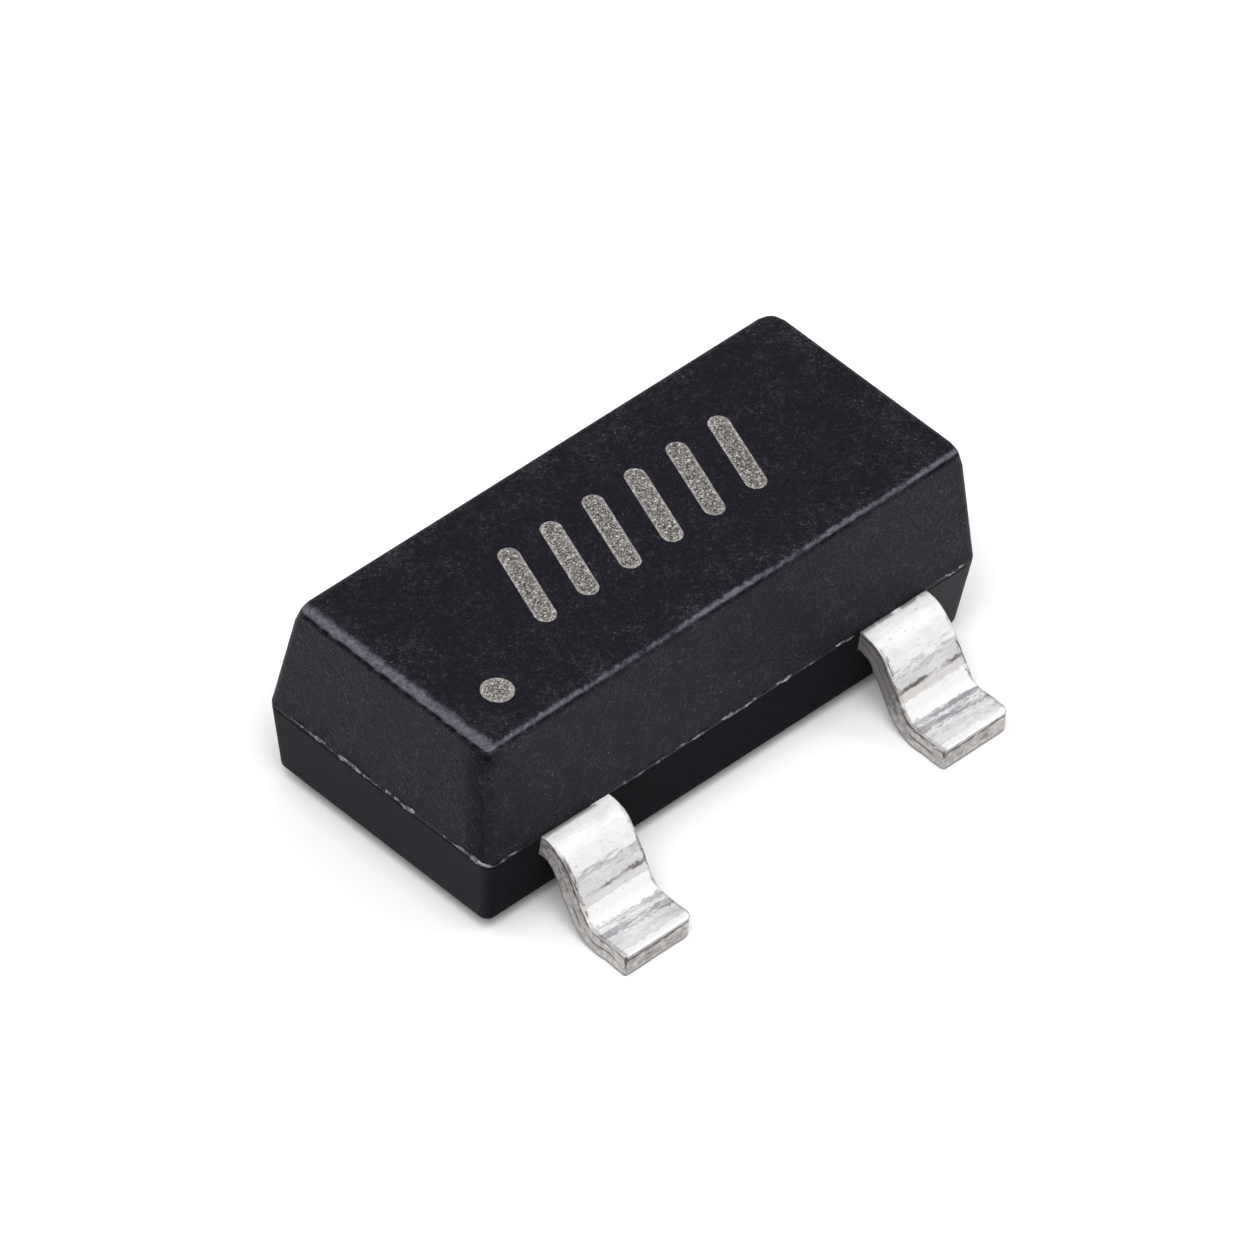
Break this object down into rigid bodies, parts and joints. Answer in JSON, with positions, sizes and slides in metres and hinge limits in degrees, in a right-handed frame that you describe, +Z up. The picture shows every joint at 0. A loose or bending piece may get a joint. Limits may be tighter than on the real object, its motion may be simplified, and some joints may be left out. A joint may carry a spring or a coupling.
{
  "type": "sot-23 transistor",
  "caption": "Small-signal transistor in a drafted black moulded body, with gull-wing leads on both long sides for soldering flat to a board.",
  "frame": {"origin": "centre of the package on the seating plane under the feet", "axes": "+X along the body's length, +Y towards the single collector lead, +Z up from the board"},
  "size_m": [0.003, 0.0024, 0.001],
  "materials": {
    "mould_resin": "fine matt moulded epoxy, worn paler along its edges",
    "tinned_lead": "bright tin plate over copper alloy, with forming marks",
    "die_adhesive": "silver-filled adhesive",
    "silicon": "polished silicon",
    "bond_gold": "bright drawn gold wire"
  },
  "bodies": {
    "root": {"moulded_body": "mould_resin", "base_lead": "tinned_lead", "emitter_lead": "tinned_lead", "collector_lead": "tinned_lead", "die_attach": "die_adhesive", "transistor_die": "silicon", "base_bond_wire": "bond_gold", "emitter_bond_wire": "bond_gold"}
  },
  "joints": []
}
